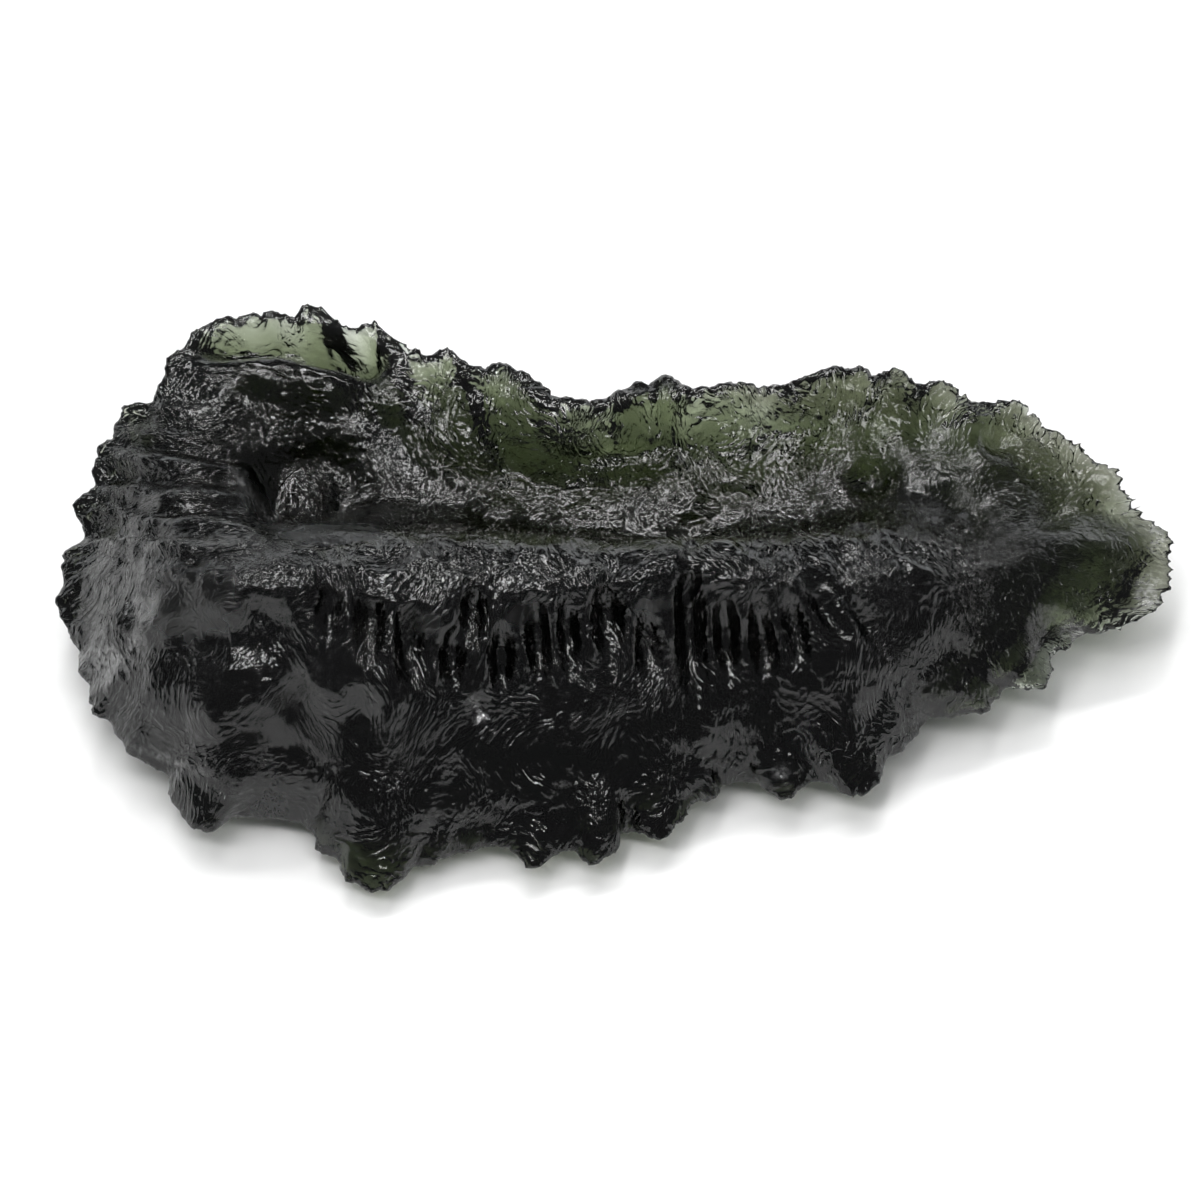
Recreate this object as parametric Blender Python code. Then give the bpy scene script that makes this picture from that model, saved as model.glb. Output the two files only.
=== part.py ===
"""A moldavite: one natural piece of green glass, lying with its hollow side up.

The stone is a long ragged shield. A thick ridge runs along it near the front, with a fluted
face below. Behind the ridge is a trough with a deep round bowl at its left end, and a thin wall
that rises to the back rim. At the back left a thin fin stands behind a groove.
"""

import math

import bmesh
import bpy
import numpy as np
from mathutils import Vector, noise

MM = 0.001  # the values below are in millimetres

# The rim and the marks were read as seen from the front, from this far above the table.
VIEW_TILT = math.radians(50)
SIN_TILT = math.sin(VIEW_TILT)
COS_TILT = math.cos(VIEW_TILT)

# The rim, clockwise from the left end: across, up (both as seen) and height above the table.
RIM = [
    (-24.9, -0.6, 3.5), (-24.8, 0.6, 4.0), (-24.6, 1.8, 4.4), (-23.8, 2.4, 4.8),
    (-24.1, 3.5, 5.4), (-23.6, 5.0, 6.0), (-23.4, 6.2, 6.5), (-22.6, 7.7, 7.0),
    (-22.2, 8.7, 7.5), (-20.9, 8.8, 8.0), (-20.4, 9.8, 8.5), (-19.9, 10.9, 9.0),
    (-19.2, 11.8, 9.3), (-18.2, 12.5, 9.5), (-16.8, 12.5, 9.6), (-15.4, 12.9, 9.7),
    (-13.7, 13.2, 9.8), (-12.9, 12.4, 9.7), (-11.7, 12.1, 9.7), (-10.7, 12.4, 9.7),
    (-10.1, 11.6, 9.7), (-9.4, 10.9, 9.7), (-8.4, 10.9, 9.7), (-7.2, 11.2, 9.7),
    (-6.2, 10.4, 9.8), (-5.3, 10.2, 9.7), (-4.2, 9.9, 9.6), (-2.9, 9.3, 9.5),
    (-2.0, 8.7, 9.5), (-1.0, 9.0, 9.5), (0.3, 9.4, 9.5), (1.6, 9.5, 9.5),
    (2.3, 9.9, 9.5), (3.5, 9.3, 9.5), (5.0, 9.7, 9.5), (6.1, 9.3, 9.5),
    (7.9, 9.8, 9.5), (9.7, 10.3, 9.4), (11.3, 10.1, 9.0), (12.9, 9.9, 8.6),
    (13.7, 9.3, 8.3), (14.9, 9.5, 8.0), (16.5, 8.8, 7.5), (18.2, 8.8, 7.0),
    (19.2, 7.9, 6.6), (20.4, 7.4, 6.2), (21.1, 6.4, 5.8), (22.2, 5.8, 5.4),
    (23.3, 4.7, 5.0), (24.0, 3.7, 4.6), (24.9, 2.0, 4.2), (25.1, 0.6, 3.8),
    (24.4, -0.3, 3.6), (23.5, -1.1, 3.4), (22.1, -1.6, 3.2), (20.6, -2.0, 3.0),
    (19.7, -3.0, 2.9), (18.9, -4.0, 2.8), (17.2, -4.6, 2.6), (15.8, -5.2, 2.5),
    (13.8, -5.8, 2.3), (12.7, -6.7, 2.2), (12.0, -8.0, 2.1), (10.9, -8.8, 2.0),
    (9.2, -8.6, 1.9), (7.6, -9.0, 1.8), (6.2, -8.2, 1.8), (4.8, -8.2, 1.8),
    (3.9, -9.5, 1.7), (2.0, -10.8, 1.6), (0.6, -10.5, 1.6), (-0.9, -11.9, 1.5),
    (-2.3, -11.3, 1.5), (-3.7, -12.0, 1.5), (-5.4, -11.2, 1.5), (-7.3, -11.6, 1.4),
    (-9.0, -12.1, 1.3), (-10.2, -13.1, 1.2), (-11.8, -12.7, 1.3), (-12.8, -11.8, 1.4),
    (-13.6, -10.3, 1.6), (-15.6, -9.9, 1.7), (-16.9, -10.1, 1.8), (-18.1, -10.5, 1.9),
    (-19.6, -9.4, 2.0), (-19.9, -7.8, 2.4), (-21.7, -6.9, 2.8), (-22.8, -5.3, 3.0),
    (-23.8, -3.7, 3.2), (-24.3, -2.0, 3.3),
]
SPLINE_STEPS = 24  # between two points of the rim
TOOTH_PITCH = 1.5
TOOTH_LENGTH = 0.6
SMOOTH_RIM = 6.0  # lobes shorter than about this are left out further in
LOBE_FADE = 9  # how fast the lobes and teeth fade inwards
MIDDLE = np.array([0.0, -4.0])  # across and depth of the point that the stone is spread around

# Lines that run along the stone: across, then depth (away from the viewer) and height.
CREST = [
    (-25, -6.0, 5.5), (-22.5, -7.5, 9.6), (-20, -8.4, 11.2), (-15, -7.6, 12.0), (-8, -7.4, 11.6),
    (0, -7.1, 11.1), (8, -5.6, 9.9), (13, -4.4, 8.4), (18, -2.6, 6.6), (22, -2.0, 5.2),
    (25, -2.0, 4.0),
]
FLOOR = [
    (-25, 0.0, 6.0), (-21.5, 1.0, 8.2), (-18.2, 1.4, 8.5), (-14.5, 0.8, 6.4), (-8, 0.2, 6.0),
    (0, -1.2, 5.8), (8, -0.8, 6.1), (12, 0.2, 6.6), (16, 1.0, 6.9), (20, 0.6, 5.7), (25, -1.6, 4.0),
]
BACK = [
    (-25, 2.0, 5.5), (-22, 4.6, 7.2), (-19.6, 6.5, 9.4), (-17.2, 5.6, 10.0), (-14.5, 5.0, 9.5),
    (-12, 5.2, 9.4), (-9.5, 5.8, 9.7), (-5, 4.3, 9.8), (-2, 2.8, 9.6), (2, 3.7, 9.6),
    (9, 4.6, 9.5), (14, 5.4, 8.1), (18, 5.6, 7.0), (21, 3.6, 5.8), (25, -1.2, 4.0),
]
LINE_BLEND = 1.4  # how far along these lines are averaged, which rounds their corners
BLEND_PLACES = 7
WALL_CURVE = 1.5  # how hollow the wall between the floor and the back rim is

# The groove between the wall's own top and the thin fin behind it: across and depth of its floor.
GROOVE = [(-19.8, 7.0), (-18.5, 7.1), (-17, 7.0), (-14.5, 7.3), (-12, 6.4), (-9.8, 5.6)]
GROOVE_HALF_WIDTH = 0.8
GROOVE_DEPTH = 3.0
GROOVE_FADE = 2.0  # over this length at each end it rises to nothing

# How the stone thickens in from its rim, on the sides that look to its front, back, left and right:
# the distance to its full height, and a power that makes the edge rounder as it grows.
UPPER_WIDTH = {"back": 0.9, "left": 4.8, "right": 3.6}  # at the front it reaches the crest
UPPER_POWER = {"front": 1.15, "back": 1.7, "left": 1.8, "right": 1.5}
LOWER_WIDTH = {"front": 3.2, "back": 2.6, "left": 3.6, "right": 6.0}
LOWER_POWER = 1.8
LEAST_FRONT_WIDTH = 3.0
# Behind the fin the underside falls away more steeply, which keeps the fin thin.
FIN_SPAN = (-21.0, -8.5)
FIN_FADE = 2.0
FIN_LOWER_POWER = 2.8
RIM_REACH = 0.1  # nearer than this to a rim point, a place takes all its form from that point

# Marks on the side seen from the front: across, up, half width, half height, depth, turn in degrees.
# A negative depth stands out.
MARKS = {
    "bowl": [
        (-13.6, 4.6, 2.3, 1.8, 1.3, 0), (-15.0, 3.8, 0.8, 0.9, 0.7, -35), (-13.0, 3.0, 1.6, 0.5, 0.7, -5),
    ],
    "lump in the bowl": [(-13.5, 4.7, 1.1, 1.0, -1.0, 0)],
    "trough pits": [
        (-5.5, 3.6, 1.1, 0.7, 0.5, 0), (3.4, 2.8, 1.1, 0.6, 0.5, 0), (11.4, 5.1, 1.0, 0.8, 0.5, 0),
    ],
    "scarp": [(0.6, 6.3, 2.0, 0.35, 0.3, 8)],
    "round hollow": [(-15.6, -1.6, 1.5, 1.4, 0.8, 0)],
    "end hollow": [(-18.7, -2.2, 1.7, 1.1, 0.7, 0)],
    "flutes": [
        (-12.6, -0.6, 0.5, 1.3, 0.7, 0), (-10.9, -1.1, 0.6, 1.5, 0.9, 0), (-8.9, -2.2, 0.6, 1.8, 0.9, 5),
        (-7.1, -2.9, 0.5, 1.3, 0.8, 0), (-6.2, -0.9, 0.5, 1.2, 0.8, -5), (-5.0, -2.9, 0.5, 1.3, 0.8, 0),
        (-3.4, -2.0, 0.5, 1.7, 0.9, 5), (-2.0, -1.9, 0.5, 1.6, 0.9, 0), (-0.2, -1.1, 0.6, 1.6, 0.9, 0),
        (1.5, -2.1, 0.5, 1.3, 0.7, 0), (3.4, -1.3, 0.6, 2.6, 1.1, 3), (4.9, -1.8, 0.5, 1.7, 0.9, 6),
        (6.5, -2.1, 0.5, 1.5, 0.9, 8), (7.9, -1.6, 0.5, 1.4, 0.8, 14), (9.4, -0.7, 0.5, 1.6, 0.6, 28),
        (11.0, -1.0, 0.4, 1.4, 0.5, 32), (-14.2, -4.4, 0.6, 1.0, 0.5, 0), (-11.0, -5.0, 0.8, 1.0, 0.4, 0),
    ],
    "ring pit": [(15.4, 3.7, 1.2, 1.0, 0.8, 0), (15.4, 3.7, 0.5, 0.4, -0.6, 0)],
    "small pits": [
        (17.2, 6.9, 0.7, 0.6, 0.5, 0), (19.6, 3.6, 0.8, 0.6, 0.4, 0), (-6.0, -5.1, 0.5, 0.4, 0.35, 0),
    ],
    "chips": [
        (-22.7, -3.1, 0.9, 0.6, 0.5, 10), (-21.2, -0.5, 0.8, 0.5, 0.4, -15),
        (-21.4, -2.4, 0.6, 0.5, 0.35, 0),
    ],
    "bowl lip": [(-16.4, 4.6, 0.5, 1.3, -0.5, 35)],
}

MARK_SHARPNESS = 1.4
MARK_SIZE = 0.9
# How far a surface must face the viewer before the marks begin, and over what more they reach full depth.
FACING_LEAST = 0.05
FACING_FADE = 0.3

LEDGE_STEP = 1.25
LEDGE_RISE = 0.75
LEDGE_STEEP = 0.35  # the share of a step that is its steep side
LEDGE_SLANT = 0.08
LEDGE_WANDER = 0.35
LEDGE_WANDER_PITCH = 4.0
LEDGE_CENTRE = (-20.4, 4.3)  # across and up
LEDGE_HALF_SIZE = (4.3, 3.4)

# Knobs of the underside that the stone rests on: across, depth and radius.
FEET = [(-15.0, -10.5, 3.2), (-7.0, -2.2, 3.0), (8.5, -7.8, 3.2), (7.5, -1.8, 2.6), (-3.0, -12.2, 2.4)]
UNDERSIDE_HEIGHT = 1.5
# Towards the thin right end the underside rises: by how much, from where and over what length.
UNDERSIDE_LIFT = 1.4
LIFT_START = 9.0
LIFT_LENGTH = 11.0
FOOT_LENGTH = 1.6
FOOT_TAPER = 1.4
WORN_OFF = 0.55  # how much of the lowest foot is worn away

# Lumps and round hollows all over, which are lower at the rim.
LUMP_PITCH = 3.4
LUMP_HEIGHT = 0.44
PIT_PITCH = 2.3
PIT_DEPTH = 0.45
UPPER_PIT_SHARE = 0.5
PIT_LEVEL = 0.6  # the part of a round hollow's height that lies at the stone's own surface
BACK_RELIEF_SHARE = 0.35  # behind the thin back wall and the fin
FRONT_RELIEF_SHARE = 0.6
RIM_RELIEF_SHARE = 0.35
RIM_SHARE = 0.07  # this share of the way in from the rim, the relief has its full height
CELL_SIZE = 0.62

COLUMNS = 336
ROWS = 112
FACES_LEFT = 9300

SHARP_EDGE = math.radians(50)
GLASS_GREEN = (0.035, 0.075, 0.03, 1.0)
GLASS_ROUGHNESS = 0.25
GLASS_IOR = 1.49


def clear_scene():
    for obj in list(bpy.data.objects):
        bpy.data.objects.remove(obj, do_unlink=True)


def glass_material():
    """Dark bottle-green natural glass."""
    material = bpy.data.materials.new("moldavite glass")
    material.use_nodes = True
    shader = material.node_tree.nodes["Principled BSDF"]
    shader.inputs["Base Color"].default_value = GLASS_GREEN
    shader.inputs["Roughness"].default_value = GLASS_ROUGHNESS
    shader.inputs["Metallic"].default_value = 0.0
    shader.inputs["IOR"].default_value = GLASS_IOR
    material.diffuse_color = GLASS_GREEN
    return material


def smooth_step(value):
    held = np.clip(value, 0.0, 1.0)
    return held * held * (3.0 - 2.0 * held)


def ripple(places, pitch, seed):
    """Smooth seeded noise, about -1 to 1, whose bumps are pitch apart."""
    shift = Vector((seed * 17.3, seed * 5.1, seed * 9.7))
    return np.array([noise.noise(Vector(p) / pitch + shift) for p in places])


def scallops(places, pitch, seed):
    """Seeded round hollows that meet in sharp crests: 0 in a hollow's middle, 1 on a crest."""
    shift = Vector((seed * 3.3, seed * 7.7, seed * 1.9))
    nearest = [noise.voronoi(Vector(p) / pitch + shift)[0][0] for p in places]
    return np.clip(np.array(nearest) / CELL_SIZE, 0.0, 1.0) ** 2


def closed_spline(knots):
    """Many points on a smooth closed curve through the knots."""
    before, after, last = np.roll(knots, 1, 0), np.roll(knots, -1, 0), np.roll(knots, -2, 0)
    steps = np.linspace(0.0, 1.0, SPLINE_STEPS, endpoint=False)[:, None, None]
    spline = 0.5 * (
        2 * knots
        + (after - before) * steps
        + (2 * before - 5 * knots + 4 * after - last) * steps**2
        + (3 * knots - before - 3 * after + last) * steps**3
    )
    return spline.transpose(1, 0, 2).reshape(-1, 3)


def rim_curve():
    """The closed rim with its teeth, as a point for each column, anticlockwise from the left end."""
    seen = np.array(RIM[::-1])
    depth = (seen[:, 1] - seen[:, 2] * COS_TILT) / SIN_TILT
    fine = closed_spline(np.column_stack([seen[:, 0], depth, seen[:, 2]]))
    closed = np.vstack([fine, fine[:1]])
    gaps = np.linalg.norm(np.diff(closed[:, :2], axis=0), axis=1)
    along = np.concatenate([[0.0], np.cumsum(gaps)])
    wanted = np.linspace(0.0, along[-1], COLUMNS, endpoint=False)
    rim = np.column_stack([np.interp(wanted, along, closed[:, axis]) for axis in range(3)])
    tangent = np.roll(rim, -1, 0) - np.roll(rim, 1, 0)
    outward = np.column_stack([tangent[:, 1], -tangent[:, 0]])
    outward /= np.linalg.norm(outward, axis=1)[:, None]
    tooth = ripple(rim, TOOTH_PITCH, 3) * TOOTH_LENGTH
    rim[:, :2] += outward * tooth[:, None]
    return rim


def smoothed(rim):
    """The rim without its teeth and small lobes."""
    pitch = np.linalg.norm(np.diff(rim[:, :2], axis=0), axis=1).mean()
    reach = round(SMOOTH_RIM / pitch)
    weights = np.hanning(2 * reach + 1)
    weights /= weights.sum()
    around = np.concatenate([rim[-reach:], rim, rim[:reach]])
    return np.column_stack([np.convolve(around[:, axis], weights, "valid") for axis in range(3)])


def line_at(line, across):
    """Depth and height of one of the lines along the stone."""
    table = np.array(line)
    spread = np.linspace(-LINE_BLEND, LINE_BLEND, BLEND_PLACES)
    places = across[:, None] + spread
    depth = np.interp(places, table[:, 0], table[:, 1]).mean(axis=1)
    return depth, np.interp(places, table[:, 0], table[:, 2]).mean(axis=1)


def top_height(across, depth):
    """The upper side without its rim: the ridge, the trough and the wall behind it."""
    crest_depth, crest_height = line_at(CREST, across)
    floor_depth, floor_height = line_at(FLOOR, across)
    back_depth, back_height = line_at(BACK, across)
    down = smooth_step((depth - crest_depth) / (floor_depth - crest_depth))
    inside = crest_height + (floor_height - crest_height) * down
    rise = np.clip((depth - floor_depth) / (back_depth - floor_depth), 0.0, 1.0) ** WALL_CURVE
    height = np.where(depth < floor_depth, inside, floor_height + (back_height - floor_height) * rise)
    groove = np.array(GROOVE)
    from_left = smooth_step((across - groove[0, 0]) / GROOVE_FADE)
    ends = from_left * smooth_step((groove[-1, 0] - across) / GROOVE_FADE)
    off = (depth - np.interp(across, groove[:, 0], groove[:, 1])) / GROOVE_HALF_WIDTH
    return height - GROOVE_DEPTH * ends * np.exp(-(off**2))


def underside_height(across, depth):
    """The underside without its rim: a low arch with the knobs that it stands on."""
    height = UNDERSIDE_HEIGHT + UNDERSIDE_LIFT * smooth_step((across - LIFT_START) / LIFT_LENGTH)
    for foot_across, foot_depth, radius in FEET:
        off = np.hypot(across - foot_across, depth - foot_depth) / radius
        height -= FOOT_LENGTH * np.exp(-(off**2) * FOOT_TAPER)
    return height


def edge_forms(rim):
    """For each rim point: its height, and the width and roundness of the stone's edge above and below."""
    out = rim[:, :2] - MIDDLE
    out /= np.linalg.norm(out, axis=1)[:, None]
    sides = {"front": -out[:, 1], "back": out[:, 1], "left": -out[:, 0], "right": out[:, 0]}
    share = {side: np.clip(facing, 0.0, 1.0) ** 2 for side, facing in sides.items()}
    to_crest = np.maximum(line_at(CREST, rim[:, 0])[0] - rim[:, 1], LEAST_FRONT_WIDTH)
    upper_width = share["front"] * to_crest + sum(share[side] * w for side, w in UPPER_WIDTH.items())
    upper_power = sum(share[side] * power for side, power in UPPER_POWER.items())
    lower_width = sum(share[side] * width for side, width in LOWER_WIDTH.items())
    fin = smooth_step((rim[:, 0] - FIN_SPAN[0]) / FIN_FADE) * (rim[:, 1] > 0)
    fin *= smooth_step((FIN_SPAN[1] - rim[:, 0]) / FIN_FADE)
    lower_power = LOWER_POWER + (FIN_LOWER_POWER - LOWER_POWER) * fin
    return np.column_stack([rim[:, 2], upper_width, upper_power, lower_width, lower_power])


def from_rim(places, rim):
    """The distance of each place from the rim, and the rim's form near it."""
    gaps = np.linalg.norm(places[:, None] - rim[None, :, :2], axis=2)
    weights = (gaps**2 + RIM_REACH**2) ** -2
    return gaps.min(axis=1), weights @ edge_forms(rim) / weights.sum(axis=1)[:, None]


def edge_share(inward, width, power):
    """0 at the rim, rising to 1 at the edge's width."""
    return 1.0 - (1.0 - np.clip(inward / width, 0.0, 1.0)) ** power


def reshape_sphere(sphere):
    """Turns the unit sphere into the stone's main form. The equator becomes the rim."""
    co = np.array([v.co for v in sphere.verts])
    column = np.arctan2(-co[:, 1], -co[:, 0]) / (2 * math.pi) % 1.0
    turn = np.rint(column * COLUMNS).astype(int) % COLUMNS
    from_pole = np.arccos(np.clip(np.abs(co[:, 2]), 0.0, 1.0)) / (math.pi / 2)
    rim = rim_curve()
    even = smoothed(rim)
    even_plan = MIDDLE + (even[turn, :2] - MIDDLE) * from_pole[:, None]
    inward, form = from_rim(even_plan, even)
    rim_height, upper_width, upper_power, lower_width, lower_power = form.T
    ragged = (rim[turn] - even[turn]) * (from_pole**LOBE_FADE)[:, None]
    across, depth = (even_plan + ragged[:, :2]).T
    upper_share = edge_share(inward, upper_width, upper_power)
    lower_share = edge_share(inward, lower_width, lower_power)
    upper = rim_height + (top_height(across, depth) - rim_height) * upper_share
    lower = rim_height + (underside_height(across, depth) - rim_height) * lower_share
    is_upper = co[:, 2] > 0
    height = np.where(is_upper, upper, lower) + ragged[:, 2]
    for vert, place in zip(sphere.verts, np.column_stack([across, depth, height])):
        vert.co = place
    return from_pole, is_upper


def seen_places(co):
    return co[:, 0], co[:, 1] * SIN_TILT + co[:, 2] * COS_TILT


def mark_depth(across, up):
    """How deep the marks cut at each seen place, in mm."""
    depth = np.zeros_like(across)
    for marks in MARKS.values():
        for mark_across, mark_up, half_width, half_height, deep, degrees in marks:
            turn = math.radians(degrees)
            side = (across - mark_across) * math.cos(turn) + (up - mark_up) * math.sin(turn)
            high = (up - mark_up) * math.cos(turn) - (across - mark_across) * math.sin(turn)
            off = (side / half_width) ** 2 + (high / half_height) ** 2
            depth += deep * np.exp(-(off**MARK_SHARPNESS) * MARK_SIZE)
    return depth


def ledge_rise(across, up, wander):
    """The steps of the left end, whose steep sides face the front."""
    step = ((up + LEDGE_SLANT * across) / LEDGE_STEP + LEDGE_WANDER * wander) % 1.0
    falling = smooth_step((step - LEDGE_STEEP) / (1.0 - LEDGE_STEEP))
    profile = smooth_step(step / LEDGE_STEEP) - falling - 0.5
    side = (across - LEDGE_CENTRE[0]) / LEDGE_HALF_SIZE[0]
    high = (up - LEDGE_CENTRE[1]) / LEDGE_HALF_SIZE[1]
    return LEDGE_RISE * profile * np.exp(-((side**2 + high**2) ** 2))


def carve(sphere, from_pole, is_upper):
    """Cuts the marks and ledges into the upper side, and lumps and scallops all over."""
    sphere.normal_update()
    co = np.array([v.co for v in sphere.verts])
    normal = np.array([v.normal for v in sphere.verts])
    across, up = seen_places(co)
    facing = normal[:, 2] * SIN_TILT - normal[:, 1] * COS_TILT
    shown = smooth_step((facing - FACING_LEAST) / FACING_FADE) * is_upper
    off_rim = smooth_step((1.0 - from_pole) / RIM_SHARE)
    wander = ripple(co, LEDGE_WANDER_PITCH, 5)
    lumps = (ripple(co, LUMP_PITCH, 8) + ripple(co, LUMP_PITCH / 2, 9) / 2) * LUMP_HEIGHT
    hollows = (scallops(co, PIT_PITCH, 4) - PIT_LEVEL) * PIT_DEPTH
    hollows *= np.where(is_upper, UPPER_PIT_SHARE, 1.0)
    out = (lumps + hollows) * (RIM_RELIEF_SHARE + (1.0 - RIM_RELIEF_SHARE) * off_rim)
    out *= 1.0 - (1.0 - BACK_RELIEF_SHARE) * np.clip(normal[:, 1], 0.0, 1.0)
    out *= 1.0 - (1.0 - FRONT_RELIEF_SHARE) * np.clip(-normal[:, 1], 0.0, 1.0)
    out -= mark_depth(across, up) * shown * off_rim
    co += normal * out[:, None]
    co[:, 2] += ledge_rise(across, up, wander) * shown * off_rim
    for vert, place in zip(sphere.verts, co):
        vert.co = place


def wear_flat(stone):
    """Takes WORN_OFF from the lowest knobs, so that the stone lies on small flat faces."""
    bm = bmesh.new()
    bm.from_mesh(stone.data)
    level = min(v.co.z for v in bm.verts) + WORN_OFF * MM
    cut = bmesh.ops.bisect_plane(
        bm,
        geom=bm.verts[:] + bm.edges[:] + bm.faces[:],
        plane_co=(0, 0, level),
        plane_no=(0, 0, 1),
        clear_inner=True,
    )
    open_edges = [e for e in cut["geom_cut"] if isinstance(e, bmesh.types.BMEdge)]
    flats = bmesh.ops.holes_fill(bm, edges=open_edges, sides=0)["faces"]
    bm.normal_update()
    bmesh.ops.reverse_faces(bm, faces=[f for f in flats if f.normal.z > 0])
    bmesh.ops.triangulate(bm, faces=bm.faces)
    co = np.array([v.co for v in bm.verts])
    low, high = co.min(axis=0), co.max(axis=0)
    centre = Vector(((low[0] + high[0]) / 2, (low[1] + high[1]) / 2, low[2]))
    bmesh.ops.translate(bm, vec=-centre, verts=bm.verts)
    bm.to_mesh(stone.data)
    bm.free()


def lower_face_count(stone):
    """Collapses the dense mesh to about the wanted number of triangles."""
    thin = stone.modifiers.new("fewer faces", "DECIMATE")
    thin.ratio = FACES_LEFT / len(stone.data.polygons)
    graph = bpy.context.evaluated_depsgraph_get()
    mesh = bpy.data.meshes.new_from_object(stone.evaluated_get(graph))
    stone.modifiers.clear()
    stone.data = mesh


def make_stone():
    sphere = bmesh.new()
    bmesh.ops.create_uvsphere(sphere, u_segments=COLUMNS, v_segments=ROWS, radius=1.0)
    from_pole, is_upper = reshape_sphere(sphere)
    carve(sphere, from_pole, is_upper)
    bmesh.ops.triangulate(sphere, faces=sphere.faces)
    bmesh.ops.scale(sphere, vec=(MM, MM, MM), verts=sphere.verts)
    mesh = bpy.data.meshes.new("stone")
    sphere.to_mesh(mesh)
    sphere.free()
    stone = bpy.data.objects.new("stone", mesh)
    collection = bpy.data.collections.new("moldavite")
    bpy.context.scene.collection.children.link(collection)
    collection.objects.link(stone)
    lower_face_count(stone)
    wear_flat(stone)
    stone.data.materials.clear()
    stone.data.materials.append(glass_material())
    stone.data.shade_smooth()
    stone.data.set_sharp_from_angle(angle=SHARP_EDGE)


clear_scene()
make_stone()
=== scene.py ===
"""A moldavite: a natural green glass stone, etched all over, lying on pale paper under soft light."""
import math

import bmesh
import bpy
import numpy as np
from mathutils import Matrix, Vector, kdtree, noise
from mathutils.bvhtree import BVHTree


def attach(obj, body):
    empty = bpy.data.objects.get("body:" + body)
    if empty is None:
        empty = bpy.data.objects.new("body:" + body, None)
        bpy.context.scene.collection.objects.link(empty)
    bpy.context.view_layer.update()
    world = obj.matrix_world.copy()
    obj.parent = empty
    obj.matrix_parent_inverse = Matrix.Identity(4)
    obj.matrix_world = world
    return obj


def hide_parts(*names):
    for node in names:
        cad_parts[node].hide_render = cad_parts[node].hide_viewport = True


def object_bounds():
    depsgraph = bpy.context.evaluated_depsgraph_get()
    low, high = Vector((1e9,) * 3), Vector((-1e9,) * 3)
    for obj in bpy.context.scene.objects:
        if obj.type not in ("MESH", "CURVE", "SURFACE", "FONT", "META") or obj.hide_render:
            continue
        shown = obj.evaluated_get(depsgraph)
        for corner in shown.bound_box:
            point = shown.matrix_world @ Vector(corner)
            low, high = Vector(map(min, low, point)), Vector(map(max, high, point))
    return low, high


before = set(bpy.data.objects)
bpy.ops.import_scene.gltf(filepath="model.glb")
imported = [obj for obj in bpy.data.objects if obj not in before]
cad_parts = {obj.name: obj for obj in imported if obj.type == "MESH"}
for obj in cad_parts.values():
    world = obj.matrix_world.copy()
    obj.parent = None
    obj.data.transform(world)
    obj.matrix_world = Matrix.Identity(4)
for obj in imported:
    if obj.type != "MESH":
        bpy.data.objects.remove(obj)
cad_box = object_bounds()

MM = 0.001

# The photograph's frame, in its own pixels, and the stone's place in it.
FRAME_PIXELS = 1200
STONE_LEFT, STONE_RIGHT = 53, 1177
STONE_TOP, STONE_BOTTOM = 298, 891
CAMERA_ELEVATION = math.radians(50)
CAMERA_DISTANCE = 600 * MM
SENSOR = 36.0

# Light: strips overhead (name, place, power) and a pale sweep of paper low down behind the stone.
STRIPS = [
    ("back strip", (-0.1, 0.42, 0.85), 4.4),
    ("top strip", (-0.1, 0.02, 0.95), 4.4),
    ("front strip", (-0.1, -0.38, 0.8), 4.2),
]
STRIP_SIZE = (1.2, 0.14)
ROOM_COLOUR = (0.95, 0.98, 1.0, 1)
ROOM_LIGHT = 0.17
SWEEP_LIGHT = 1.3
SWEEP_HEIGHT = (0.5, 0.1)  # where it starts and is full, as parts of a direction of length 1
SWEEP_SIDES = (0.3, 0.7)
PAPER_COLOURS = [(0.91, 0.91, 0.905, 1), (0.95, 0.95, 0.945, 1)]
FLOOR_HALF_SIZE = 1.5

# The glass. Absorption is a colour and a density per metre.
GLASS_IOR = 1.49
CLEAR_TINT = (0.93, 0.96, 0.92, 1)
SMOKY_TINT = (0.42, 0.43, 0.37, 1)
ABSORPTION_COLOUR = (0.40, 0.45, 0.28, 1)
ABSORPTION_DENSITY = 2100.0
POLISH = 0.13  # roughness of fresh glass, and of worn glass
WORN_POLISH = 0.32
# Broken spots: many small cracks send back white light, as a bright rough coat does.
CRACK_IOR = 2.6
CRACK_ROUGHNESS = 0.5
CRACKS_PER_METRE = 5200.0
GRAINS_PER_METRE = 9000.0

# The skin of the stone, in millimetres.
SKIN_GRAIN = 0.11
SKIN_SMOOTHING = 6
MOST_TRIANGLES = 196_000
WELD_DISTANCE = 0.005

# Etched pits, in millimetres: width across the etching, length along it and depth. The last number
# is how much of a pit the slope up to its crest takes.
FLUTES = (1.15, 2.8, 0.03, 0.8)
FLUTES_AT_RIDGE = 0.17
RIDGE_REACH = 4.0
SCALLOPS = (0.38, 0.8, 0.045, 0.6)
ON_THE_FRONT = 0.7  # depth on the front, as a share of elsewhere
PIT_LEVEL = 0.5  # the depth of a pit that leaves the skin where it is
# The deepest relief, as a share of the glass behind it.
MOST_OF_GLASS = 0.07
MOST_FOR_SCALLOPS = 0.03
THICKEST, THINNEST = 30.0, 0.1  # the glass that is looked through, in millimetres
# Swirls: the size of the turns, how far they turn the etching and how far they drag the strokes.
SWIRL_SIZE = 2.6
SWIRL_TURN = 1.3
SWIRL_DRAG = 1.5
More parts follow.
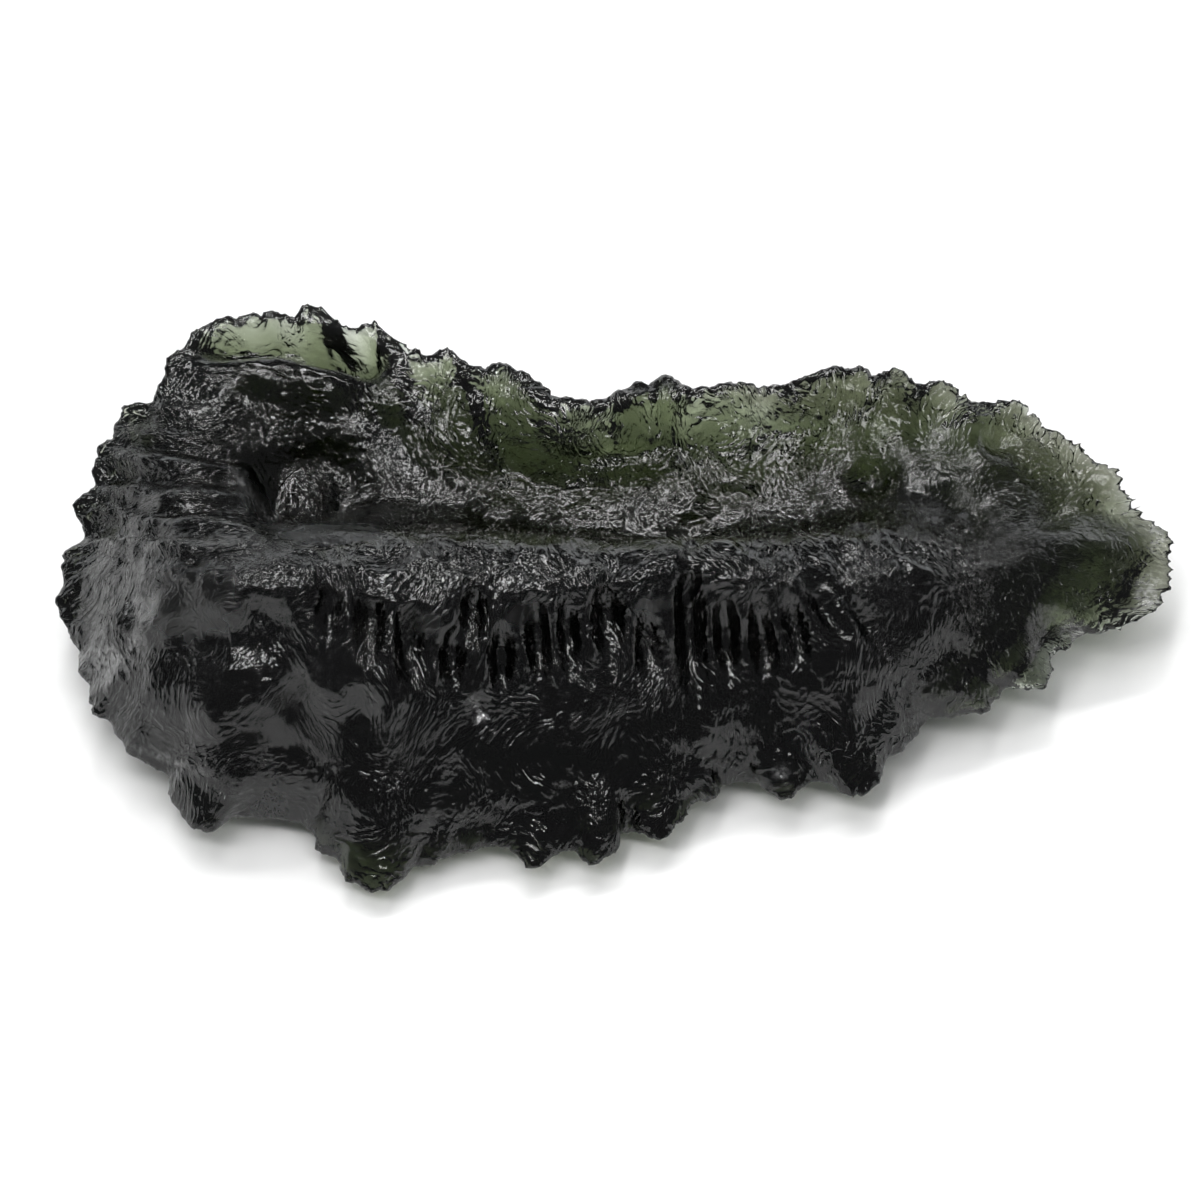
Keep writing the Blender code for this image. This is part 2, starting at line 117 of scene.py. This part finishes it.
# The finest strokes, in millimetres: thin crests that wander, close together and short.
STROKE_WIDE = 0.3
STROKE_LONG = 0.65
STROKE_WANDER = 0.13
STROKE_WANDER_SIZE = 0.5
STROKE_HEIGHT = 0.034
CREST_HALF_WIDTH = 0.2  # as a share of the noise that makes them
GRAIN_SHARE = 0.25
CLEAR_RELIEF = 0.35  # how deep the strokes are on the clear fin, as a share of elsewhere
WORN_RELIEF = 0.6

# The ridge that the etching runs away from on both sides: across and depth, in millimetres. Its
# middle, half length and turn shape the fan of the strokes round its ends.
RIDGE = [(-17.5, -2.6), (-8.0, -2.2), (0.0, -2.0), (8.0, -0.5), (14.0, 0.9), (19.0, 2.0)]
RIDGE_MIDDLE = (0.8, -0.3)
RIDGE_HALF = 16.0
RIDGE_TURN = math.radians(7.2)
# The floor of the hollow behind the ridge, where the etching runs along the stone.
HOLLOW = [(-14.0, 6.6), (-8.0, 5.3), (0.0, 3.9), (8.0, 4.3), (14.0, 5.8)]
HOLLOW_HALF_WIDTH = 1.4
# It runs along the stone on the ledges of the left end too: where they start, and their lowest
# place, both as the camera sees them.
LEDGES_START = -15.5
LEDGES_LOWEST = 0.8

# The teeth of the rim, in millimetres: pitch, greatest depth and seed.
RIM_STEPS = 1440
RIM_SHEET = 1.8  # the glass this near a rim point shows which way its edge stands
TEETH = [(1.35, 0.42, 11), (0.55, 0.16, 12)]
TOOTH_REACH = 1.7
TOOTH_STANDS_OUT = 0.16
TOOTH_POINTEDNESS = 1.4
TOOTH_WANDER = 0.35
TIP_STRAY = 0.36  # how far a tip may stray, as a share of the pitch
SHALLOWEST_NOTCH = 0.25  # as a share of the deepest
FRONT_TEETH = 0.55  # their depth at the front, as a share of that at the back
RIM_GROOVE = 0.08

# Spots as the camera sees them, in millimetres from the middle of the stone: across, up,
# half width, half height, turn in degrees. Their ragged edges: size of the lumps and their share.
RAGGED = [(0.7, 0.35), (0.3, 0.25)]
WORN = [
    (-18.7, -0.3, 2.0, 1.8, 0), (-12.4, 2.7, 2.2, 0.5, 0), (-16.0, 4.2, 0.5, 1.4, 35),
    (-8.2, -1.3, 0.7, 0.5, 20), (-4.2, -0.9, 0.8, 0.5, 10), (1.6, -0.4, 0.9, 0.4, 0),
]
MATTE = [(15.4, 5.6, 3.2, 2.2, 0), (20.5, 1.2, 4.6, 3.4, 20)]
CLEAR = [(-14.2, 11.4, 5.2, 2.0, 0)]
SMOKY = [(9.5, 9.6, 7.0, 1.7, -6), (19.6, 5.6, 3.6, 3.4, -30), (23.6, 1.6, 1.8, 2.8, 0)]
BROKEN = [
    (-22.7, -3.1, 1.0, 0.8, 0), (-21.1, -0.55, 0.9, 0.45, 15), (-21.4, -2.5, 0.3, 0.7, 0),
    (-6.2, -5.0, 0.2, 0.45, 10), (-5.95, -5.4, 0.4, 0.2, 15), (7.3, -7.8, 0.3, 0.25, 0),
    (-19.4, -7.4, 2.2, 0.1, -20), (23.8, 0.2, 0.5, 0.8, 0), (24.2, 2.6, 0.4, 0.7, 0),
    (20.5, -1.8, 0.8, 0.35, -15), (-8.8, 1.7, 0.14, 0.14, 0), (-1.5, 1.4, 0.14, 0.14, 0),
    (3.0, 6.1, 0.14, 0.14, 0), (-16.2, 4.4, 0.16, 1.3, 35),
]


def smooth_step(share):
    """A share from 0 to 1 with soft ends."""
    share = np.clip(share, 0.0, 1.0)
    return share * share * (3.0 - 2.0 * share)


def lumps(points, size, seed):
    """Smooth noise from about -1 to 1 at points in millimetres, with lumps of this size."""
    shift = Vector((seed * 17.3, seed * 9.1, seed * 5.7))
    return np.array([noise.noise(Vector(point) / size + shift) for point in points])


def drift(points, size, seed):
    """Smooth shifts in all three directions, each from about -1 to 1."""
    return np.column_stack([lumps(points, size, seed + axis) for axis in range(3)])


def away_from(line, points):
    """The vector to each point from the nearest place on a flat line."""
    flat = points[:, :2]
    best = np.full(len(flat), np.inf)
    away = np.zeros_like(flat)
    for start, end in zip(np.array(line[:-1]), np.array(line[1:])):
        run = end - start
        share = np.clip((flat - start) @ run / (run @ run), 0.0, 1.0)
        gap = flat - (start + share[:, None] * run)
        distance = (gap ** 2).sum(axis=1)
        closer = distance < best
        best[closer] = distance[closer]
        away[closer] = gap[closer]
    return away


def tree_of(points):
    """A tree that finds the points near a place."""
    tree = kdtree.KDTree(len(points))
    for index, point in enumerate(points):
        tree.insert(point, index)
    tree.balance()
    return tree


class Skin:
    """The stone's surface as arrays in millimetres, which the carving moves."""

    def __init__(self, mesh):
        self.mesh = mesh
        self.read()

    def read(self):
        """Takes the points and normals from the mesh."""
        count = len(self.mesh.vertices)
        points = np.empty(count * 3)
        self.mesh.vertices.foreach_get("co", points)
        self.points = points.reshape(-1, 3) / MM
        normals = np.empty(count * 3)
        self.mesh.vertex_normals.foreach_get("vector", normals)
        self.normals = normals.reshape(-1, 3)

    def write(self):
        """Puts the points into the mesh, which gives new normals."""
        self.mesh.vertices.foreach_set("co", (self.points * MM).ravel())
        self.mesh.update()
        self.read()

    def move(self, shift):
        """Moves each point inwards or outwards along its normal."""
        self.points += self.normals * shift[:, None]
        self.write()

    def keep(self, name, values):
        """Stores a number or a vector for each point, for the glass to read."""
        kind, field = ("FLOAT_VECTOR", "vector") if values.ndim == 2 else ("FLOAT", "value")
        layer = self.mesh.attributes.new(name, kind, "POINT")
        layer.data.foreach_set(field, values.astype(np.float32).ravel())

    def edge_ends(self):
        """The two points of each edge."""
        edges = np.empty(len(self.mesh.edges) * 2, np.int64)
        self.mesh.edges.foreach_get("vertices", edges)
        return edges.reshape(-1, 2).T

    def least_near(self, values, rounds):
        """The smallest of the values within a few edges of each point."""
        one, other = self.edge_ends()
        for _ in range(rounds):
            least = values.copy()
            np.minimum.at(least, one, values[other])
            np.minimum.at(least, other, values[one])
            values = least
        return values

    def even_out(self, values, rounds):
        """The values averaged with their neighbours' a few times."""
        one, other = self.edge_ends()
        count = len(values)
        neighbours = np.bincount(one, minlength=count) + np.bincount(other, minlength=count)
        for _ in range(rounds):
            total = np.bincount(one, values[other], count) + np.bincount(other, values[one], count)
            values = 0.5 * values + 0.5 * total / neighbours
        return values


def fine_skin(node):
    """The CAD stone's form as an even, fine and smooth mesh."""
    bm = bmesh.new()
    bm.from_mesh(node.data)
    bmesh.ops.remove_doubles(bm, verts=bm.verts, dist=WELD_DISTANCE * MM)
    mesh = bpy.data.meshes.new("moldavite_stone")
    bm.to_mesh(mesh)
    bm.free()
    stone = bpy.data.objects.new("moldavite_stone", mesh)
    bpy.context.scene.collection.objects.link(stone)
    remesh = stone.modifiers.new("even skin", "REMESH")
    remesh.mode = "VOXEL"
    remesh.voxel_size = SKIN_GRAIN * MM
    smooth = stone.modifiers.new("soft edges", "SMOOTH")
    smooth.factor = 0.5
    smooth.iterations = SKIN_SMOOTHING
    apply_modifiers(stone)
    return stone


def apply_modifiers(piece):
    """Gives the piece the mesh that its modifiers make of it."""
    bpy.context.view_layer.update()
    evaluated = piece.evaluated_get(bpy.context.evaluated_depsgraph_get())
    finished = bpy.data.meshes.new_from_object(evaluated)
    finished.name = piece.name
    old = piece.data
    piece.modifiers.clear()
    piece.data = finished
    bpy.data.meshes.remove(old)


def thickness(skin):
    """How much glass lies behind each point, in millimetres."""
    corners = [Vector(point) for point in skin.points]
    faces = [polygon.vertices[:] for polygon in skin.mesh.polygons]
    tree = BVHTree.FromPolygons(corners, faces)
    depth = np.empty(len(corners))
    for index, (corner, normal) in enumerate(zip(corners, skin.normals)):
        inward = -Vector(normal)
        hit = tree.ray_cast(corner + inward * 0.02, inward, THICKEST)
        depth[index] = hit[3] if hit[0] else THINNEST
    return depth


def sideways_share(skin):
    """1 where the etching runs along the stone: on the hollow's floor and on the ledges of the left end."""
    from_hollow = away_from(HOLLOW, skin.points)
    on_floor = np.exp(-(from_hollow ** 2).sum(axis=1) / HOLLOW_HALF_WIDTH ** 2) * (skin.normals[:, 2] > 0.2)
    across, up = seen_places(skin.points)
    on_ledges = smooth_step((LEDGES_START - across) / 2.0) * smooth_step(up - LEDGES_LOWEST)
    return np.maximum(on_floor, on_ledges * (skin.normals[:, 2] > 0))


def etching_direction(skin, sideways):
    """Which way the etched streaks run: away from the ridge or along the stone, with swirls."""
    away = away_from(RIDGE, skin.points)
    away /= np.linalg.norm(away, axis=1)[:, None] + 1e-6
    side = np.where(away[:, 0] < 0, -1.0, 1.0)
    flat = away * (1.0 - sideways)[:, None]
    flat[:, 0] += sideways * side
    turn = SWIRL_TURN * lumps(skin.points, SWIRL_SIZE, 61)
    swirled = (flat[:, 0] + 1j * flat[:, 1]) * np.exp(1j * turn)
    flow = np.column_stack([swirled.real, swirled.imag, np.zeros(len(flat))])
    flow -= skin.normals * (flow * skin.normals).sum(axis=1)[:, None]
    return flow / (np.linalg.norm(flow, axis=1)[:, None] + 1e-6)


def pits(skin, flow, wide, long, seed, crest):
    """How far down in its pit each point is: 0 on the sharp crests between pits, 1 on their floors."""
    random = np.random.default_rng(seed)
    area = len(skin.points) * SKIN_GRAIN ** 2
    count = int(area / (wide * long))
    picked = random.choice(len(skin.points), count, replace=False)
    centres = skin.points[picked]
    directions = flow[picked]
    faces_out = skin.normals[picked]
    tree = tree_of(centres)
    places = skin.points + drift(skin.points, 2.2 * wide, seed) * 0.45 * wide
    near = np.array([[hit[1] for hit in tree.find_n(place, 9)] for place in places])
    gap = places[:, None, :] - centres[near]
    along = (gap * directions[near]).sum(axis=2)
    lift = (gap * faces_out[near]).sum(axis=2)
    across = np.maximum((gap ** 2).sum(axis=2) - along ** 2 - lift ** 2, 0.0)
    reach = np.sqrt((along / long) ** 2 + across / wide ** 2 + (lift / wide) ** 2)
    reach.sort(axis=1)
    level = np.clip((reach[:, 1] - reach[:, 0]) / crest, 0.0, 1.0)
    return 1.0 - (1.0 - level) ** 2


def evened(values, rounds):
    """Values round the rim, each averaged with its neighbours a number of times."""
    for _ in range(rounds):
        values = (np.roll(values, 1, axis=0) + values + np.roll(values, -1, axis=0)) / 3
    return values


def rim_of(points):
    """The stone's outermost points all round, which way each stands out, and their places along the rim."""
    middle = np.array([(points[:, 0].max() + points[:, 0].min()) / 2, 0.0])
    out = points[:, :2] - middle
    turn = np.arctan2(out[:, 1], out[:, 0]) / (2 * math.pi) % 1.0
    step = (turn * RIM_STEPS).astype(int) % RIM_STEPS
    order = np.lexsort((np.hypot(*out.T), step))
    last = np.append(step[order][1:] != step[order][:-1], True)
    rim = points[order[last]]
    tree = tree_of(points)
    sheets = [[hit[1] for hit in tree.find_range(point, RIM_SHEET)] for point in rim]
    inside = np.array([points[sheet].mean(axis=0) for sheet in sheets])
    outward = evened(rim - inside, 12)
    outward /= np.linalg.norm(outward, axis=1)[:, None]
    even = evened(rim, 60)
    steps = np.linalg.norm(np.roll(even, -1, axis=0) - even, axis=1)
    return rim, outward, np.concatenate([[0.0], np.cumsum(steps)[:-1]]), steps.sum()


def tooth_line(length, around, pitch, seed):
    """Notches of uneven width and depth along the rim: 0 at the tips of the teeth, up to 1 between them."""
    random = np.random.default_rng(seed)
    count = int(around / pitch)
    tips = (np.arange(count) + random.uniform(-TIP_STRAY, TIP_STRAY, count)) * around / count
    deep = random.uniform(SHALLOWEST_NOTCH, 1.0, count)
    tips = np.concatenate([tips, [tips[0] + around]])
    place = (length - tips[0]) % around + tips[0]
    gap = np.searchsorted(tips, place, side="right") - 1
    gap = np.clip(gap, 0, count - 1)
    share = (place - tips[gap]) / (tips[gap + 1] - tips[gap])
    return deep[gap] * (1.0 - np.abs(2.0 * share - 1.0)) ** TOOTH_POINTEDNESS


def cut_teeth(skin):
    """Notches the rim, in the plane of its glass, and returns how deep the notches are at each point."""
    rim, outward, lengths, around = rim_of(skin.points)
    tree = tree_of(rim)
    found = np.array([tree.find(point)[1:] for point in skin.points])
    nearest, distance = found[:, 0].astype(int), found[:, 1]
    wander = lumps(skin.points, 2.5, 41) * TOOTH_WANDER
    notch = np.zeros(len(distance))
    for pitch, depth, seed in TEETH:
        notch += depth * tooth_line(lengths[nearest] + wander, around, pitch, seed)
    notch *= FRONT_TEETH + (1.0 - FRONT_TEETH) * smooth_step(1.4 * outward[nearest, 1])
    fade = np.clip(1.0 - distance / TOOTH_REACH, 0.0, 1.0) ** 2
    shift = (TOOTH_STANDS_OUT - notch) * fade
    skin.points += outward[nearest] * shift[:, None]
    skin.write()
    return notch * fade


def fan_places(skin):
    """Places along the ridge and away from it, in millimetres, that fan out round its ends."""
    x, y = (skin.points[:, :2] - RIDGE_MIDDLE).T
    turned = (x + 1j * y) * np.exp(-1j * RIDGE_TURN) / RIDGE_HALF
    fan = np.arccosh(turned.astype(complex))
    return np.column_stack([np.abs(fan.imag) * RIDGE_HALF, np.abs(fan.real) * RIDGE_HALF, skin.points[:, 2]])


def seen_places(points):
    """Across and up as the camera sees them, from the middle of the stone."""
    across = points[:, 0]
    up = points[:, 1] * math.sin(CAMERA_ELEVATION) + points[:, 2] * math.cos(CAMERA_ELEVATION)
    return across - (across.max() + across.min()) / 2, up - (up.max() + up.min()) / 2


def patches(skin, spots, seed, both_sides=False):
    """1 inside ragged spots on the side that the camera sees, or through the stone, 0 outside them."""
    across, up = seen_places(skin.points)
    shown = skin.normals[:, 2] * math.sin(CAMERA_ELEVATION) - skin.normals[:, 1] * math.cos(CAMERA_ELEVATION)
    ragged = sum(share * lumps(skin.points, size, seed) for size, share in RAGGED)
    inside = np.zeros(len(across))
    for spot_across, spot_up, half_width, half_height, degrees in spots:
        turn = math.radians(degrees)
        side = (across - spot_across) * math.cos(turn) + (up - spot_up) * math.sin(turn)
        high = (up - spot_up) * math.cos(turn) - (across - spot_across) * math.sin(turn)
        off = np.hypot(side / half_width, high / half_height) + ragged
        inside = np.maximum(inside, smooth_step((1.25 - off) / 0.5))
    return inside if both_sides else inside * (shown > 0.05)


def etch(skin, level, depth, most):
    """Sinks the pits and lifts the crests between them, by this depth or the most that the glass allows."""
    skin.move((PIT_LEVEL - level) * np.minimum(depth, most))


def carve_stone(stone):
    """Cuts the etched relief into the skin, in layers from broad to fine."""
    skin = Skin(stone.data)
    drag = drift(skin.points, SWIRL_SIZE, 71) * SWIRL_DRAG
    drag += drift(skin.points, STROKE_WANDER_SIZE, 81) * STROKE_WANDER
    outward_places = fan_places(skin) + drag
    sideways_places = skin.points + drag
    sideways = sideways_share(skin)
    worn = patches(skin, WORN, 51)
    broken = patches(skin, BROKEN, 52)
    matte = patches(skin, MATTE, 53)
    clear = patches(skin, CLEAR, 54, both_sides=True)
    smoky = patches(skin, SMOKY, 55, both_sides=True)
    notch = cut_teeth(skin)
    glass_behind = skin.even_out(skin.least_near(thickness(skin), 5), 4)
    flow = etching_direction(skin, sideways)
    away = away_from(RIDGE, skin.points)
    from_ridge = np.linalg.norm(away, axis=1)
    on_front = smooth_step((-away[:, 1] - 1.0) / 3.0) * smooth_step((0.9 - skin.normals[:, 2]) / 0.3)
    relief = (1.0 - (1.0 - ON_THE_FRONT) * on_front) * (1.0 - 0.7 * worn) * (1.0 - 0.4 * matte)
    skin.move(-np.minimum(RIM_GROOVE * notch, MOST_OF_GLASS * glass_behind))

    wide, long, deep, crest = FLUTES
    at_ridge = smooth_step(1.0 - from_ridge / RIDGE_REACH)
    depth = deep * relief + FLUTES_AT_RIDGE * at_ridge * (1.0 - 0.5 * worn) * (1.0 - matte)
    etch(skin, pits(skin, flow, wide, long, 11, crest), depth, MOST_OF_GLASS * glass_behind)

    wide, long, deep, crest = SCALLOPS
    patchy = 1.0 + 0.5 * lumps(skin.points, 3.5, 31)
    depth = deep * patchy * relief
    etch(skin, pits(skin, flow, wide, long, 23, crest), depth, MOST_FOR_SCALLOPS * glass_behind)
    skin.keep("outward places", outward_places)
    skin.keep("sideways places", sideways_places)
    skin.keep("sideways", sideways)
    skin.keep("relief", np.maximum(relief, WORN_RELIEF) * (1.0 - (1.0 - CLEAR_RELIEF) * clear))
    skin.keep("worn", np.maximum(worn, 0.4 * matte))
    skin.keep("broken", broken)
    skin.keep("smoky", smoky)


def thin_out(stone):
    """Fewer triangles where the skin is flat."""
    triangles = sum(len(polygon.vertices) - 2 for polygon in stone.data.polygons)
    decimate = stone.modifiers.new("thin out", "DECIMATE")
    decimate.ratio = min(1.0, MOST_TRIANGLES / triangles)
    decimate.use_collapse_triangulate = True
    apply_modifiers(stone)
    skin = Skin(stone.data)
    skin.points[:, 2] = np.maximum(skin.points[:, 2], cad_box[0].z / MM)
    skin.write()
    stone.data.shade_smooth()


def add(nodes, kind, **sockets):
    """A new node with values on some of its sockets."""
    node = nodes.new(kind)
    for name, value in sockets.items():
        node.inputs[name.replace("_", " ")].default_value = value
    return node


def attribute(nodes, name, output="Fac"):
    """What the skin keeps under this name."""
    node = nodes.new("ShaderNodeAttribute")
    node.attribute_name = name
    return node.outputs[output]


def calculate(nodes, links, operation, *values):
    """A sum, product or the like of sockets and plain numbers."""
    node = nodes.new("ShaderNodeMath")
    node.operation = operation
    for socket, value in zip(node.inputs, values):
        if isinstance(value, float):
            socket.default_value = value
        else:
            links.new(value, socket)
    return node.outputs["Value"]


def ramp(nodes, links, value, low, high):
    """0 at the low value, 1 at the high one and smooth between them."""
    node = add(nodes, "ShaderNodeMapRange", From_Min=low, From_Max=high)
    node.interpolation_type = "SMOOTHSTEP"
    links.new(value, node.inputs["Value"])
    return node.outputs["Result"]


def mix(nodes, links, share, one, other):
    """One value where the share is 0 and the other where it is 1."""
    node = nodes.new("ShaderNodeMix")
    links.new(share, node.inputs["Factor"])
    for name, value in (("A", one), ("B", other)):
        if isinstance(value, float):
            node.inputs[name].default_value = value
        else:
            links.new(value, node.inputs[name])
    return node.outputs["Result"]


def lumpy(nodes, links, places, scale, detail):
    """Noise from 0 to 1 at these places."""
    node = add(nodes, "ShaderNodeTexNoise", Scale=scale, Detail=detail)
    links.new(places, node.inputs["Vector"])
    return node.outputs["Fac"]


def strokes(nodes, links, places, narrow):
    """Thin wandering crests, close together on the narrow axes and long on the others: from 0 to 1."""
    scale = nodes.new("ShaderNodeMapping")
    scale.vector_type = "POINT"
    scale.inputs["Scale"].default_value = [1 / (STROKE_WIDE if axis else STROKE_LONG) for axis in narrow]
    links.new(attribute(nodes, places, "Vector"), scale.inputs["Vector"])
    waves = lumpy(nodes, links, scale.outputs["Vector"], 1.0, 0.0)
    off_crest = calculate(nodes, links, "ABSOLUTE", calculate(nodes, links, "SUBTRACT", waves, 0.5))
    return ramp(nodes, links, off_crest, CREST_HALF_WIDTH, 0.0)


def stroke_relief(nodes, links, places):
    """The finest etching as a bump: strokes outwards or along the stone, with a fine grain on them."""
    outward = strokes(nodes, links, "outward places", (True, False, False))
    lengthwise = strokes(nodes, links, "sideways places", (False, True, True))
    crests = mix(nodes, links, attribute(nodes, "sideways"), outward, lengthwise)
    grain = lumpy(nodes, links, places, GRAINS_PER_METRE, 0.0)
    relief = add(nodes, "ShaderNodeBump", Distance=STROKE_HEIGHT * MM)
    links.new(attribute(nodes, "relief"), relief.inputs["Strength"])
    height = calculate(nodes, links, "MULTIPLY_ADD", grain, GRAIN_SHARE, crests)
    links.new(height, relief.inputs["Height"])
    return relief.outputs["Normal"]


def moldavite_glass():
    """Bottle-green natural glass: clear where it is thin, near black where it is thick."""
    material = bpy.data.materials.new("moldavite_glass")
    material.use_nodes = True
    nodes, links = material.node_tree.nodes, material.node_tree.links
    nodes.clear()
    output = nodes.new("ShaderNodeOutputMaterial")
    glass = add(nodes, "ShaderNodeBsdfPrincipled", Transmission_Weight=1.0, IOR=GLASS_IOR)
    links.new(glass.outputs["BSDF"], output.inputs["Surface"])
    colour = add(nodes, "ShaderNodeVolumeAbsorption", Color=ABSORPTION_COLOUR, Density=ABSORPTION_DENSITY)
    links.new(colour.outputs["Volume"], output.inputs["Volume"])
    tint = nodes.new("ShaderNodeMix")
    tint.data_type = "RGBA"
    clear, smoky = [socket for socket in tint.inputs if socket.type == "RGBA"]
    clear.default_value = CLEAR_TINT
    smoky.default_value = SMOKY_TINT
    links.new(attribute(nodes, "smoky"), tint.inputs["Factor"])
    links.new(next(socket for socket in tint.outputs if socket.type == "RGBA"), glass.inputs["Base Color"])
    polish = mix(nodes, links, attribute(nodes, "worn"), POLISH, WORN_POLISH)
    links.new(polish, glass.inputs["Roughness"])

    places = nodes.new("ShaderNodeTexCoord").outputs["Object"]
    glass.inputs["Coat IOR"].default_value = CRACK_IOR
    glass.inputs["Coat Roughness"].default_value = CRACK_ROUGHNESS
    splinters = add(nodes, "ShaderNodeMapRange", From_Min=0.42, From_Max=0.6, To_Min=0.1, To_Max=0.9)
    links.new(lumpy(nodes, links, places, CRACKS_PER_METRE, 1.0), splinters.inputs["Value"])
    broken = attribute(nodes, "broken")
    whiteness = calculate(nodes, links, "MULTIPLY", broken, splinters.outputs["Result"])
    links.new(whiteness, glass.inputs["Coat Weight"])
    links.new(stroke_relief(nodes, links, places), glass.inputs["Normal"])
    return material


def paper():
    """White paper with a faint mottle."""
    material = bpy.data.materials.new("white_paper")
    material.use_nodes = True
    nodes, links = material.node_tree.nodes, material.node_tree.links
    surface = nodes["Principled BSDF"]
    surface.inputs["Roughness"].default_value = 0.9
    surface.inputs["Specular IOR Level"].default_value = 0.1
    places = nodes.new("ShaderNodeTexCoord").outputs["Object"]
    tint = nodes.new("ShaderNodeValToRGB")
    for element, colour in zip(tint.color_ramp.elements, PAPER_COLOURS):
        element.color = colour
    links.new(lumpy(nodes, links, places, 900.0, 3.0), tint.inputs["Fac"])
    links.new(tint.outputs["Color"], surface.inputs["Base Color"])
    return material


def make_floor():
    """A flat sheet of paper under the stone."""
    bm = bmesh.new()
    bmesh.ops.create_grid(bm, x_segments=1, y_segments=1, size=FLOOR_HALF_SIZE)
    bmesh.ops.translate(bm, verts=bm.verts, vec=(0, 0, cad_box[0].z))
    mesh = bpy.data.meshes.new("paper_floor")
    bm.to_mesh(mesh)
    bm.free()
    floor = bpy.data.objects.new("paper_floor", mesh)
    bpy.context.scene.collection.objects.link(floor)
    mesh.materials.append(paper())


def make_camera(node):
    """A long lens that puts the CAD stone where the photograph has it."""
    toward = Vector((0, math.cos(CAMERA_ELEVATION), -math.sin(CAMERA_ELEVATION)))
    right = Vector((1, 0, 0))
    up = right.cross(toward)
    points = [vertex.co for vertex in node.data.vertices]
    across = [point.dot(right) for point in points]
    height = [point.dot(up) for point in points]
    pixels_per_metre = (STONE_RIGHT - STONE_LEFT) / (max(across) - min(across))
    half_frame = FRAME_PIXELS / 2
    aim_across = (max(across) + min(across)) / 2
    aim_across -= ((STONE_LEFT + STONE_RIGHT) / 2 - half_frame) / pixels_per_metre
    aim_height = (max(height) + min(height)) / 2
    aim_height += ((STONE_TOP + STONE_BOTTOM) / 2 - half_frame) / pixels_per_metre
    middle = (cad_box[0] + cad_box[1]) / 2
    aim = right * aim_across + up * aim_height + toward * middle.dot(toward)
    camera = bpy.data.cameras.new("camera")
    camera.sensor_width = SENSOR
    camera.lens = SENSOR * CAMERA_DISTANCE * pixels_per_metre / FRAME_PIXELS
    camera.clip_start = 0.01
    holder = bpy.data.objects.new("camera", camera)
    holder.location = aim - toward * CAMERA_DISTANCE
    holder.rotation_mode = "QUATERNION"
    holder.rotation_quaternion = toward.to_track_quat("-Z", "Y")
    bpy.context.scene.collection.objects.link(holder)
    bpy.context.scene.camera = holder


def soft_strip(name, place, power):
    """A long soft light that faces the stone."""
    light = bpy.data.lights.new(name, "AREA")
    light.shape = "RECTANGLE"
    light.size, light.size_y = STRIP_SIZE
    light.energy = power
    holder = bpy.data.objects.new(name, light)
    holder.location = place
    holder.rotation_mode = "QUATERNION"
    holder.rotation_quaternion = (-Vector(place)).to_track_quat("-Z", "Y")
    bpy.context.scene.collection.objects.link(holder)


def light_scene():
    """Soft strips overhead, and a pale sweep of paper low down behind the stone."""
    for name, place, power in STRIPS:
        soft_strip(name, place, power)
    world = bpy.data.worlds.new("studio")
    world.use_nodes = True
    nodes, links = world.node_tree.nodes, world.node_tree.links
    background = nodes["Background"]
    background.inputs["Color"].default_value = ROOM_COLOUR
    direction = nodes.new("ShaderNodeTexCoord")
    parts = nodes.new("ShaderNodeSeparateXYZ")
    links.new(direction.outputs["Generated"], parts.inputs["Vector"])
    low = ramp(nodes, links, parts.outputs["Z"], *SWEEP_HEIGHT)
    behind = ramp(nodes, links, parts.outputs["Y"], *SWEEP_SIDES)
    share = calculate(nodes, links, "MULTIPLY", low, behind)
    light = calculate(nodes, links, "MULTIPLY_ADD", share, SWEEP_LIGHT, ROOM_LIGHT)
    links.new(light, background.inputs["Strength"])
    bpy.context.scene.world = world
    bpy.context.scene.view_settings.view_transform = "Standard"


def make_stone(node):
    """The whole stone: the CAD form with its etched skin, in moldavite glass."""
    stone = fine_skin(node)
    carve_stone(stone)
    thin_out(stone)
    stone.data.materials.clear()
    stone.data.materials.append(moldavite_glass())
    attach(stone, "root")
    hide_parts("stone")


make_camera(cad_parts["stone"])
light_scene()
make_floor()
make_stone(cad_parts["stone"])
